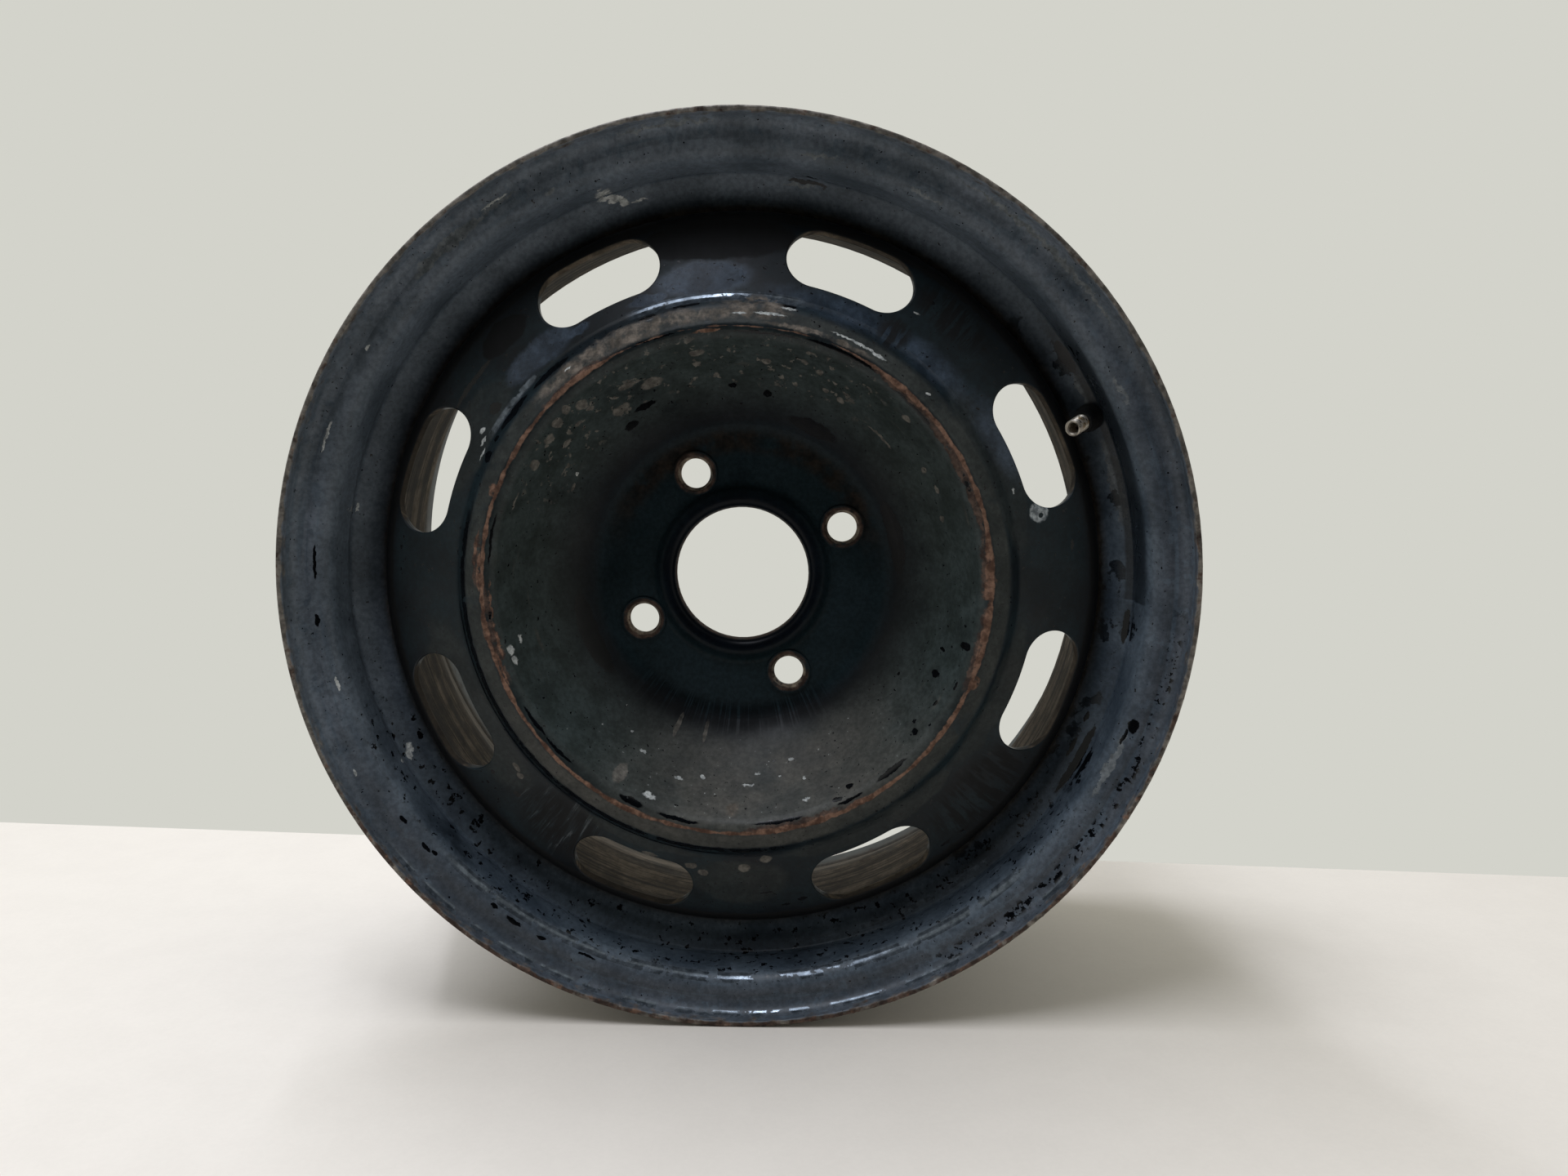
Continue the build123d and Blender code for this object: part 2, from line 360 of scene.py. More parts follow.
    def close(
        self, peel_mm: float, grit_share: float = 1.0, gloss: Value = 0.5, scale_mm: Value = 0.0
    ) -> bpy.types.Material:
        """Adds the paint's own unevenness and joins the layers to the shader.

        Args:
            peel_mm: the height of the orange-peel waves.
            grit_share: how much fine grit darkens the colours.
            gloss: how strongly it mirrors, 0.5 for a clean skin.
            scale_mm: the height of rust scale.

        Returns:
            The material.
        """
        peel = self.math("MULTIPLY_ADD", self.noise(Grain.SPECK), peel_mm, scale_mm)
        waves = self.math("MULTIPLY_ADD", self.noise(Grain.COARSE), peel_mm * 8.0, peel)
        bump = self.node("Bump", {"Strength": 1.0, "Distance": 0.001, "Height": waves})
        cloud = self.math("MULTIPLY_ADD", self.noise(Grain.SMALL), 0.16, -0.08)
        grit = self.step(self.noise(Grain.SPECK, 1), 0.30, 0.70)
        shade = self.node("Mix", {0: grit, 6: GRIT_SHADE, 7: NO_SHADE}, 2, data_type="RGBA")
        gritty = {0: grit_share, 6: self.colour, 7: shade}
        inputs = {
            "Base Color": self.node("Mix", gritty, 2, data_type="RGBA", blend_type="MULTIPLY"),
            "Roughness": self.math("ADD", self.roughness, cloud),
            "Metallic": self.metallic,
            "IOR": PAINT_IOR,
            "Specular IOR Level": gloss,
            "Normal": bump,
        }
        shader = self.node("BsdfPrincipled", inputs)
        self.node("OutputMaterial", {0: shader})
        LOG.info("finish %s", self.material.name)
        return self.material


@dataclass
class Rim:
    """The rolled rim, kept as its CAD node and painted."""

    node: str = "rim"
    lip_from_mm: float = 204.6
    lip_soft_mm: float = 0.8
    scale_mm: float = 0.15
    flange_from_mm: float = 190.0
    joint_mm: float = 173.2
    disc_depth_mm: float = -44.0

    def paint(self) -> bpy.types.Material:
        """Builds the rim's paint: enamel under road film, flaked, with a worn lip and a dirty barrel.

        Returns:
            The material.
        """
        coat = Coat("black_stove_enamel_rim", ENAMEL, 11.0)
        inward = coat.math("MULTIPLY", coat.facing_out, -0.6)
        ends = coat.math("MULTIPLY", coat.facing_in, coat.math("SIGN", coat.depth))
        hub_side = coat.step(coat.math("ADD", inward, ends), -0.05, 0.05)
        outboard = coat.step(coat.depth, self.disc_depth_mm + 6.0, self.disc_depth_mm - 2.0)
        front = coat.both(hub_side, outboard)
        inside = coat.math("SUBTRACT", hub_side, front)
        self.film(coat, front)
        self.flake(coat, front)
        self.chip(coat, front)
        self.dirty_barrel(coat, inside)
        self.scuff_seats(coat, hub_side)
        self.wear_lip(coat)
        lip = coat.step(coat.radius, self.lip_from_mm, self.lip_from_mm + self.lip_soft_mm)
        scale = coat.both(coat.noise(Grain.FINE, 1), lip, self.scale_mm)
        return coat.close(PEEL_MM, scale_mm=scale)

    def film(self, coat: Coat, front: Socket) -> None:
        """Lays the road film, thin in the well's wall and thicker on the flange, paler on the upper left part
        as painted light, and black grime with painted shade in the joint.

        Args:
            coat: the material.
            front: the mask of the outboard face.
        """
        coat.lay(WALL_FILM, coat.both(front, coat.islands(Grain.COARSE, 0.84, 0.18)))
        flange = coat.step(coat.radius, self.flange_from_mm - 6.0, self.flange_from_mm + 6.0)
        coat.lay(FLANGE_FILM, coat.both(front, flange, coat.islands(Grain.COARSE, 0.96, 0.22, 1)))
        # Painted light: the flange and the top of the well's wall are made paler from 152 to 328 degrees, the
        # upper and left part.
        high = coat.either(flange, coat.both(coat.step(coat.radius, 173.0, 177.0), 0.55))
        around = coat.band(coat.angle, 152.0, 328.0, 14.0)
        coat.lay(TOP_FILM_AND_LIGHT, coat.both(front, high, around, coat.islands(Grain.COARSE, 0.90, 0.20)))
        worn = coat.both(coat.step(coat.noise(Grain.SPECK, 0, Lie.ROUND), 0.54, 0.66), 0.7)
        scales = coat.both(coat.islands(Grain.SMALL, 0.36, 0.02, 1), 0.6)
        coat.lay(WALL_FILM, coat.both(front, flange, coat.either(worn, scales)))
        # Painted shade with the grime: the crevice where the disc meets the rim, inside about 174 mm, is
        # blackened.
        ragged = coat.math("MULTIPLY_ADD", coat.noise(Grain.FINE), 3.0, coat.radius)
        coat.lay(GRIME_AND_SHADE, coat.both(front, coat.step(ragged, self.joint_mm + 2.2, self.joint_mm + 0.8)))

    def flake(self, coat: Coat, front: Socket) -> None:
        """Adds the faded scabs, the black patches where the film has flaked off, and darker bands on the
        well's wall.

        Args:
            coat: the material.
            front: the mask of the outboard face.
        """
        scabs = (
            Patch(230.0, 197.2, 6.2, 2.4), Patch(238.5, 198.4, 2.6, 1.0), Patch(245.2, 191.6, 0.9, 0.9),
            Patch(312.0, 202.0, 13.0, 1.0), Patch(281.0, 192.0, 2.0, 1.0), Patch(333.0, 192.2, 2.2, 1.0),
            Patch(26.0, 191.4, 4.6, 1.6), Patch(331.0, 183.0, 3.4, 2.2), Patch(345.5, 182.6, 6.4, 2.4),
            Patch(279.0, 183.2, 2.6, 0.8), Patch(262.0, 203.0, 6.0, 0.9), Patch(296.0, 190.4, 2.4, 0.6),
        )
        torn = (
            Patch(325.5, 183.5, 2.8, 2.6), Patch(280.0, 185.0, 2.8, 0.8), Patch(28.5, 184.6, 6.0, 1.6),
            Patch(7.0, 184.8, 2.6, 1.4), Patch(27.0, 180.0, 1.8, 1.0), Patch(22.0, 180.2, 0.9, 0.9),
            Patch(19.5, 193.0, 1.0, 2.4), Patch(21.4, 191.0, 1.2, 0.7), Patch(123.5, 193.0, 1.2, 1.1),
            Patch(127.0, 192.4, 0.7, 0.9), Patch(119.0, 193.0, 0.7, 0.8), Patch(138.3, 192.0, 0.5, 0.9),
            Patch(139.6, 193.0, 0.8, 1.0), Patch(144.6, 193.0, 0.7, 1.1), Patch(175.0, 194.0, 0.9, 1.0),
            Patch(183.0, 193.6, 2.4, 0.7), Patch(153.6, 177.0, 0.7, 1.0), Patch(112.0, 192.0, 1.4, 0.5),
        )
        coat.lay(FADED, coat.both(front, coat.ovals(scabs, 7.0, Grain.FINE, 0.12)))
        low = coat.sector((30.0, 165.0), (174.0, 189.0), (10.0, 1.0))
        edge = coat.both(low, coat.islands(Grain.FINE, 0.27))
        rim_edge = coat.sector((4.0, 64.0), (198.0, 203.0), (6.0, 1.0))
        speck = coat.both(rim_edge, coat.islands(Grain.FINE, 0.38))
        spots = coat.both(coat.step(coat.radius, 176.0, 180.0), coat.islands(Grain.SPECK, 0.10))
        wall = (171.0, 183.5)
        right = coat.either(
            coat.sector((3.0, 58.0), wall, (5.0, 1.0)),
            coat.sector((316.0, 366.0), wall, (3.0, 1.0)),
        )
        maps = coat.both(right, coat.islands(Grain.MIDDLE, 0.36), 0.8)
        # Not flakes: the wall is darker across its lower part, 20 to 160 degrees, and in a line at the right,
        # 322 to 6 degrees.
        under = coat.either(
            coat.both(coat.sector((322.0, 366.0), (182.8, 187.0), (6.0, 0.7)), 0.75),
            coat.both(coat.sector((20.0, 160.0), (178.0, 186.5), (14.0, 2.0)), 0.45),
        )
        patches = coat.ovals(torn, 2.6, Grain.FINE)
        coat.lay(GLOSS_AND_SHADE, coat.both(front, coat.either(patches, edge, speck, spots, maps, under)))

    def chip(self, coat: Coat, front: Socket) -> None:
        """Adds the pale chips and scratches, and the bends rubbed to a shine with painted glints along them.

        Args:
            coat: the material.
            front: the mask of the outboard face.
        """
        chips = (
            Patch(251.0, 185.6, 1.22, 0.81), Patch(252.2, 184.0, 1.08, 1.35), Patch(253.2, 181.8, 0.68, 1.62),
            Patch(255.3, 181.0, 1.22, 0.54), Patch(151.6, 184.6, 0.81, 1.08), Patch(152.6, 183.0, 0.81, 1.22),
            Patch(213.0, 196.2, 0.41, 0.68), Patch(200.0, 196.8, 2.03, 0.54), Patch(166.0, 191.5, 1.08, 0.68),
            Patch(153.5, 199.5, 0.54, 0.54), Patch(190.4, 185.4, 0.68, 0.41), Patch(238.0, 199.6, 1.89, 0.41),
        )
        coat.lay(PALE_CHIPS_AND_GLINTS, coat.both(front, coat.ovals(chips, 2.4, Grain.SPECK, 0.15)))
        # Painted highlight: pale shiny dashes along the lower bends and the lip, 40 to 142 degrees, where the
        # overhead lamps glint.
        high = coat.sector((46.0, 136.0), (187.6, 191.0), (3.0, 0.3))
        low = coat.sector((50.0, 78.0), (182.6, 184.6), (2.0, 0.3))
        lip = coat.sector((40.0, 142.0), (203.0, 204.6), (3.0, 0.3))
        glint_dashes = coat.step(coat.noise(Grain.MIDDLE, 1), 0.47, 0.50)
        coat.lay(RUBBED_AND_GLINT, coat.both(front, glint_dashes, coat.either(high, low, lip)))

    def wear_lip(self, coat: Coat) -> None:
        """Rubs the lip's edge down to steel and lets it rust a little.

        Args:
            coat: the material.
        """
        ragged = coat.math("MULTIPLY_ADD", coat.noise(Grain.SMALL, 1), 3.0, -1.5)
        worn_to = coat.math("ADD", coat.radius, ragged)
        edge = coat.step(worn_to, self.lip_from_mm, self.lip_from_mm + self.lip_soft_mm)
        lip = coat.both(edge, coat.step(coat.math("ABSOLUTE", coat.depth), 82.5, 84.5))
        coat.lay(BARE_LIP, lip)
        low = coat.band(coat.angle, 20.0, 150.0, 25.0)
        share = coat.math("MULTIPLY_ADD", low, 0.28, 0.32)
        coat.lay(OLD_RUST, coat.both(lip, coat.islands(Grain.SMALL, share, 0.06)))
        fresh = coat.islands(Grain.FINE, coat.math("MULTIPLY", share, 0.5), 0.05)
        coat.lay(RUST, coat.both(lip, fresh, 0.8))

    def dirty_barrel(self, coat: Coat, inside: Socket) -> None:
        """Covers the barrel behind the disc with brake dirt in streaks round the turning.

        Args:
            coat: the material.
            inside: the mask of the barrel.
        """
        coat.lay(SLOPE_FILM, coat.both(inside, coat.islands(Grain.COARSE, 0.80, 0.16)))
        barrel = coat.both(inside, coat.step(coat.depth, 66.0, 46.0))
        coat.lay(BARREL_DIRT, coat.both(barrel, coat.islands(Grain.COARSE, 0.84, 0.20, 1)))
        fine = coat.step(coat.noise(Grain.SPECK, 1, Lie.ROUND), 0.50, 0.62)
        wide = coat.step(coat.noise(Grain.SMALL, 0, Lie.ROUND), 0.48, 0.58)
        coat.lay(DARK_STREAK, coat.both(barrel, coat.either(wide, coat.both(fine, 0.7)), 0.85))
        coat.lay(OLD_RUST, coat.both(inside, coat.islands(Grain.SMALL, 0.16, 0.06)))

    def scuff_seats(self, coat: Coat, hub_side: Socket) -> None:
        """Scuffs the bead seats and flanges on the tyre side, where the beads sat.

        Args:
            coat: the material.
            hub_side: the mask of the hub side.
        """
        tyre_side = coat.math("SUBTRACT", 1.0, hub_side)
        seat = coat.both(tyre_side, coat.band(coat.math("ABSOLUTE", coat.depth), 56.0, 80.0, 2.0))
        coat.lay(SLOPE_FILM, coat.both(tyre_side, coat.islands(Grain.COARSE, 0.66, 0.12)))
        coat.lay(FADED, coat.both(seat, coat.step(coat.noise(Grain.SPECK, 0, Lie.ROUND), 0.52, 0.62)))
        coat.lay(OLD_RUST, coat.both(seat, coat.islands(Grain.SMALL, 0.36, 0.05)))
        coat.lay(RUST, coat.both(seat, coat.islands(Grain.FINE, 0.22, 0.04)))

    def dress(self) -> None:
        """Gives the CAD node its paint."""
        dress_node(self.node, self.paint())


@dataclass
class Disc:
    """The pressed disc, kept as its CAD node and painted."""

    node: str = "disc"
    crest_mm: float = 115.7
    scale_mm: float = 0.3
    joint_mm: float = 164.6
    bolt_circle_mm: float = 54.0
    bolt_clock: float = 24.9

    def paint(self) -> bpy.types.Material:
        """Builds the disc's paint, from the hub out to the rim, and the dirt on its back.

        Returns:
            The material.
        """
        coat = Coat("black_stove_enamel_disc", ENAMEL, 53.0)
        front = coat.step(coat.facing_in, 0.02, -0.12)
        skirt = coat.both(coat.step(coat.radius, 158.0, 161.0), coat.step(coat.facing_out, -0.3, -0.6))
        behind = coat.step(coat.facing_in, 0.30, 0.45)
        self.film(coat, front)
        self.shine(coat, front)
        self.dust(coat, front)
        self.flake(coat, front)
        self.rust(coat, front)
        self.chip(coat, front)
        self.holes(coat)
        self.back(coat, behind, skirt)
        wander = coat.math("MULTIPLY_ADD", coat.noise(Grain.COARSE), 24.0, coat.radius)
        dull = coat.both(front, coat.step(wander, 106.0, 84.0))
        crest = coat.band(coat.radius, self.crest_mm - 2.0, self.crest_mm + 2.0, 0.8)
        scale = coat.both(coat.noise(Grain.FINE, 1), crest, self.scale_mm)
        gloss = coat.math("MULTIPLY_ADD", dull, -0.32, 0.5)
        return coat.close(PEEL_MM, gloss=gloss, scale_mm=scale)

    def film(self, coat: Coat, front: Socket) -> None:
        """Lays the road film in the bowl, on the crown and on the sloping band, with the bowl's lower part
        paler, partly as painted light.

        Args:
            coat: the material.
            front: the mask of the outboard face.
        """
        bowl = coat.both(coat.step(coat.radius, 72.0, 98.0), coat.step(coat.radius, 120.0, 108.0))
        coat.lay(BOWL_FILM, coat.both(front, bowl, coat.islands(Grain.COARSE, 0.92, 0.18)))
        # Painted light, with a warmer film: the bowl's lower part, 44 to 116 degrees, is made paler where it
        # faces up.
        low = coat.sector((44.0, 116.0), (83.0, 116.0), (26.0, 10.0))
        band = coat.band(coat.radius, 117.0, 163.0, 3.0)
        coat.lay(SLOPE_FILM, coat.both(front, band, coat.islands(Grain.COARSE, 0.68, 0.18, 1)))
        grey = (
            Patch(154.0, 141.0, 19.0, 13.0), Patch(209.0, 139.0, 13.0, 10.0), Patch(335.0, 130.0, 18.0, 8.0),
            Patch(24.0, 132.0, 16.0, 6.0), Patch(60.0, 131.0, 20.0, 5.0), Patch(90.0, 145.0, 9.0, 12.0),
            Patch(112.0, 131.0, 14.0, 3.0),
        )
        crown = coat.band(coat.radius, 117.0, 124.0, 1.0)
        crown = coat.both(crown, coat.islands(Grain.MIDDLE, 0.76, 0.10))
        thick = coat.either(coat.both(coat.ovals(grey, 9.0, Grain.MIDDLE, 0.14), 0.55), crown)
        coat.lay(GREY_FILM, coat.both(front, thick))
        ring = coat.both(coat.sector((72.0, 150.0), (117.0, 124.0), (12.0, 1.0)), 0.6)
        pale_and_lit = coat.either(low, ring)
        coat.lay(PALE_FILM_AND_LIGHT, coat.both(front, pale_and_lit, coat.islands(Grain.COARSE, 0.86, 0.24, 1)))

    def shine(self, coat: Coat, front: Socket) -> None:
        """Adds the blue glossy patches with their painted blue reflection, the black patches, the painted
        shade along the crown's step at the lower left, and the runs on the sloping band.

        Args:
            coat: the material.
            front: the mask of the outboard face.
        """
        # Painted reflection: the pale blue ovals on the sloping band's upper part stand for the room's light
        # mirrored in the gloss.
        blue = (
            Patch(229.5, 137.5, 8.0, 6.6), Patch(238.0, 135.0, 2.8, 2.4), Patch(264.0, 138.6, 9.0, 7.6),
            Patch(253.0, 134.0, 4.0, 2.2),
        )
        faint = (
            Patch(292.0, 132.0, 14.0, 5.0), Patch(311.0, 133.0, 9.0, 5.6), Patch(330.0, 136.0, 8.0, 6.0),
        )
        black = (
            Patch(217.0, 152.6, 5.6, 1.2), Patch(216.0, 136.0, 1.5, 2.4), Patch(207.5, 126.6, 1.4, 1.7),
            Patch(211.4, 127.0, 0.9, 0.9), Patch(218.0, 127.2, 4.6, 1.6), Patch(229.0, 127.0, 5.0, 1.4),
            Patch(281.0, 127.0, 1.6, 1.2), Patch(260.0, 127.4, 3.0, 1.2), Patch(252.0, 125.6, 2.0, 1.0),
            Patch(41.0, 153.0, 0.9, 1.0), Patch(48.0, 161.0, 0.9, 0.8), Patch(52.0, 161.0, 1.2, 0.8),
            Patch(79.0, 158.0, 0.8, 1.0), Patch(82.0, 160.2, 0.9, 0.7), Patch(85.0, 151.6, 1.3, 0.6),
            Patch(142.0, 149.6, 0.6, 0.8), Patch(141.2, 156.0, 0.4, 0.6), Patch(136.0, 148.0, 0.7, 1.4),
            Patch(171.6, 147.6, 0.4, 0.5), Patch(304.8, 155.0, 0.4, 0.8), Patch(324.0, 135.0, 0.4, 0.6),
            Patch(353.6, 156.0, 0.9, 0.8),
        )
        wet = (
            Patch(41.0, 152.0, 11.0, 14.0), Patch(309.0, 155.0, 7.0, 9.0), Patch(302.0, 133.0, 3.0, 7.0),
            Patch(126.0, 145.0, 9.0, 15.0),
        )
        spokes = coat.noise(Grain.COARSE, 0, Lie.SPOKE)
        dim = coat.both(coat.ovals(faint, 5.0, Grain.MIDDLE, 0.60), 0.8)
        painted_sheen = coat.either(coat.ovals(blue, 5.0, Grain.SMALL, 0.20), dim)
        coat.lay(GLOSS_AND_BLUE_SHEEN, coat.both(front, painted_sheen, 0.95))
        runs = coat.both(coat.ovals(wet, 5.0, Grain.SMALL, 0.35), coat.step(spokes, 0.42, 0.52))
        # Painted shade: a thin line at 128.1 to 129.1 mm and a ragged band at 125.4 to 128.2 mm, in the lower
        # left, blackened where the crown's step faces down and outboard.
        step_shade_line = coat.sector((92.0, 176.0), (128.1, 129.1), (3.0, 0.3))
        step_shade = coat.both(step_shade_line, coat.islands(Grain.MIDDLE, 0.80))
        ragged = coat.math("MULTIPLY_ADD", coat.noise(Grain.FINE), 2.4, coat.radius)
        thick = coat.both(
            coat.band(ragged, 125.4, 128.2, 0.3),
            coat.band(coat.angle, 80.0, 196.0, 4.0),
            coat.islands(Grain.MIDDLE, 0.70, layer=1),
        )
        spots = coat.both(coat.band(coat.radius, 118.0, 162.0, 2.0), coat.islands(Grain.SPECK, 0.14))
        bare = coat.either(coat.ovals(black, 2.8, Grain.FINE), step_shade, thick, spots)
        coat.lay(GLOSS_AND_SHADE, coat.both(front, bare))
        pale = coat.both(coat.ovals(wet[3:], 5.0, Grain.SMALL, 0.35), coat.step(spokes, 0.42, 0.36))
        coat.lay(FADED, coat.both(front, pale, 0.5))
        matt = (Patch(226.6, 156.0, 4.8, 6.6), Patch(267.0, 157.0, 13.0, 10.4))
        dull = coat.ovals(matt, 5.0, Grain.SMALL)
        runs = coat.both(runs, 0.9)
        # Painted shade with the grime: the disc's outer edge past 164.6 mm, in the crevice at the rim, is
        # blackened.
        joint = coat.step(ragged, self.joint_mm, self.joint_mm + 1.6)
        coat.lay(GRIME_AND_SHADE, coat.both(front, coat.either(dull, runs, joint)))

    def dust(self, coat: Coat, front: Socket) -> None:
        """Adds the tan dust along the crown and on the pad, and the grey flecks in the upper bowl.

        Args:
            coat: the material.
            front: the mask of the outboard face.
        """
        tan = (
            Patch(246.0, 121.4, 22.0, 4.0), Patch(273.0, 124.0, 8.0, 4.6), Patch(288.0, 118.0, 12.0, 1.2),
            Patch(91.4, 107.2, 1.6, 2.0),
        )
        soil = coat.ovals(tan, 6.0, Grain.SMALL, 0.30)
        soil = coat.both(soil, coat.step(coat.noise(Grain.FINE), 0.30, 0.62))
        coat.lay(TAN_DUST, coat.both(front, soil, 0.8))
        hub = coat.band(coat.radius, 40.0, 73.0, 4.0)
        coat.lay(PAD_FILM, coat.both(front, hub, coat.islands(Grain.COARSE, 0.86, 0.20)))
        pad = coat.sector((205.0, 345.0), (60.0, 70.0), (20.0, 3.0))
        coat.lay(PAD_DUST, coat.both(front, pad, coat.islands(Grain.MIDDLE, 0.62, 0.12)))
        flecks = (
            Patch(210.5, 106.6, 1.4, 1.4), Patch(218.0, 107.4, 1.4, 1.2), Patch(222.4, 108.6, 1.4, 1.6),
            Patch(226.2, 109.6, 1.1, 1.4), Patch(229.4, 107.0, 1.6, 1.8), Patch(219.0, 101.6, 1.5, 0.9),
            Patch(225.0, 103.0, 1.0, 0.7), Patch(235.6, 96.6, 2.6, 1.8), Patch(246.6, 99.6, 3.0, 2.0),
            Patch(241.0, 103.0, 2.4, 1.2), Patch(260.4, 106.0, 1.8, 1.2), Patch(277.6, 102.0, 1.2, 1.2),
            Patch(287.2, 105.0, 0.9, 0.8), Patch(291.4, 103.0, 0.8, 1.0), Patch(294.6, 97.0, 0.9, 1.0),
            Patch(299.6, 96.0, 1.2, 1.2), Patch(315.6, 107.4, 1.2, 1.2), Patch(329.0, 100.0, 0.8, 0.8),
            Patch(335.0, 101.2, 1.1, 0.7), Patch(343.0, 99.0, 0.9, 0.8), Patch(84.4, 132.2, 1.2, 2.0),
            Patch(89.0, 137.0, 1.1, 2.2), Patch(97.0, 141.0, 1.0, 1.7), Patch(99.6, 138.0, 1.2, 1.7),
            Patch(108.0, 137.0, 1.6, 0.9), Patch(138.2, 139.0, 0.7, 1.4), Patch(140.0, 137.4, 1.1, 1.2),
            Patch(121.6, 106.0, 1.7, 3.2), Patch(314.6, 94.0, 4.4, 0.5), Patch(200.6, 107.6, 2.4, 0.3),
            Patch(103.0, 80.0, 0.7, 5.0), Patch(113.0, 81.0, 0.8, 5.4), Patch(208.4, 90.4, 1.3, 0.6),
        )
        upper = coat.sector((204.0, 306.0), (92.0, 112.0), (10.0, 3.0))
        upper = coat.both(upper, coat.islands(Grain.FINE, 0.26))
        bitten = coat.either(coat.ovals(flecks, 2.4, Grain.FINE, 0.14), upper)
        coat.lay(FLECK, coat.both(front, bitten, 0.9))

    def flake(self, coat: Coat, front: Socket) -> None:
        """Adds the black spots in the bowl, the runs under the pad and the torn edge inside the crest.

        Args:
            coat: the material.
            front: the mask of the outboard face.
        """
        spots = (
            Patch(15.0, 108.4, 1.0, 1.9), Patch(25.0, 102.0, 1.0, 1.5), Patch(18.4, 101.0, 0.5, 0.7),
            Patch(24.6, 110.4, 1.0, 0.6), Patch(31.0, 107.0, 0.9, 0.6), Patch(39.8, 107.2, 0.8, 1.0),
            Patch(38.0, 105.0, 0.6, 0.4), Patch(31.4, 89.4, 0.7, 0.6), Patch(61.0, 108.0, 1.1, 0.8),
            Patch(65.0, 110.0, 1.4, 0.8), Patch(234.6, 88.6, 2.4, 1.6), Patch(241.4, 92.4, 3.6, 1.2),
            Patch(278.6, 88.0, 1.3, 1.8), Patch(268.0, 91.0, 1.2, 1.0), Patch(158.0, 80.0, 16.0, 4.0),
            Patch(296.0, 79.0, 9.0, 3.4), Patch(346.0, 77.0, 14.0, 3.6), Patch(50.0, 111.4, 4.6, 1.1),
            Patch(62.0, 112.0, 3.4, 0.7), Patch(80.0, 111.8, 6.0, 0.8), Patch(104.0, 112.6, 5.0, 0.8),
            Patch(116.0, 112.2, 3.0, 1.6), Patch(137.0, 112.8, 4.4, 0.7), Patch(146.0, 112.8, 4.4, 0.7),
            Patch(175.0, 113.4, 4.0, 0.8), Patch(191.0, 112.8, 6.0, 0.6), Patch(252.0, 115.6, 5.0, 0.5),
            Patch(277.0, 113.4, 8.0, 0.5), Patch(296.0, 114.4, 10.0, 0.9), Patch(316.0, 112.6, 8.0, 0.7),
            Patch(338.0, 112.8, 8.0, 1.1),
        )
        drips = coat.both(
            coat.sector((56.0, 134.0), (66.0, 78.0), (8.0, 4.0)),
            coat.step(coat.noise(Grain.COARSE, 0, Lie.SPOKE), 0.42, 0.50),
        )
        bowl = coat.both(coat.band(coat.radius, 80.0, 112.0, 2.0), coat.islands(Grain.SPECK, 0.12))
        coat.lay(GLOSS_AND_SHADE, coat.both(front, coat.either(coat.ovals(spots, 2.6, Grain.FINE, 0.14), bowl)))
        coat.lay(GRIME_AND_SHADE, coat.both(front, drips, 0.8))

    def rust(self, coat: Coat, front: Socket) -> None:
        """Runs the rust round the crest, with its wider patches.

        Args:
            coat: the material.
            front: the mask of the outboard face.
        """
        old = (
            Patch(358.0, 114.0, 11.0, 3.0), Patch(14.0, 114.2, 10.0, 2.4), Patch(334.0, 113.6, 14.0, 2.2),
            Patch(312.0, 114.6, 10.0, 1.6), Patch(168.0, 113.6, 11.0, 2.2), Patch(232.0, 116.6, 9.0, 1.6),
            Patch(75.0, 114.6, 14.0, 2.2), Patch(186.0, 118.0, 6.0, 2.2),
        )
        wide = (
            Patch(361.0, 114.2, 8.0, 2.0), Patch(12.0, 114.8, 9.0, 1.6), Patch(22.0, 117.2, 1.6, 1.9),
            Patch(34.0, 115.2, 9.0, 0.8), Patch(60.6, 115.2, 2.8, 1.6), Patch(70.0, 115.4, 3.4, 1.5),
            Patch(80.0, 115.4, 6.6, 1.5), Patch(116.0, 116.2, 8.0, 1.2), Patch(160.6, 114.0, 4.4, 0.5),
            Patch(167.0, 112.2, 4.6, 0.5), Patch(176.0, 112.2, 5.0, 0.4), Patch(201.6, 117.2, 1.5, 2.4),
            Patch(188.0, 119.4, 4.0, 0.6), Patch(183.0, 117.0, 4.0, 1.2), Patch(231.0, 116.6, 7.0, 0.9),
            Patch(312.0, 115.0, 8.0, 0.9), Patch(354.0, 115.0, 6.0, 1.6), Patch(170.0, 116.4, 4.0, 1.2),
            Patch(264.0, 114.2, 3.0, 0.8),
        )
        stains = coat.ovals(old, 5.0, Grain.FINE, 0.16)
        coat.lay(OLD_RUST, coat.both(front, stains, coat.islands(Grain.FINE, 0.70, 0.06)))
        wander = coat.math("MULTIPLY_ADD", coat.noise(Grain.MIDDLE), 2.0, coat.radius)
        off = coat.math("ABSOLUTE", coat.math("SUBTRACT", wander, self.crest_mm + 1.0))
        greyer = coat.band(coat.angle, 240.0, 302.0, 8.0)
        width = coat.math("MULTIPLY_ADD", coat.noise(Grain.SMALL, 1), 2.8, -0.55)
        width = coat.math("MULTIPLY_ADD", greyer, -0.75, width)
        line = coat.step(coat.math("SUBTRACT", width, off), -0.25, 0.25)
        broken = coat.step(coat.noise(Grain.FINE, 1), 0.34, 0.46)
        patches = coat.both(coat.ovals(wide, 3.2, Grain.FINE, 0.18), broken)
        coat.lay(RUST, coat.both(front, coat.either(line, patches)))

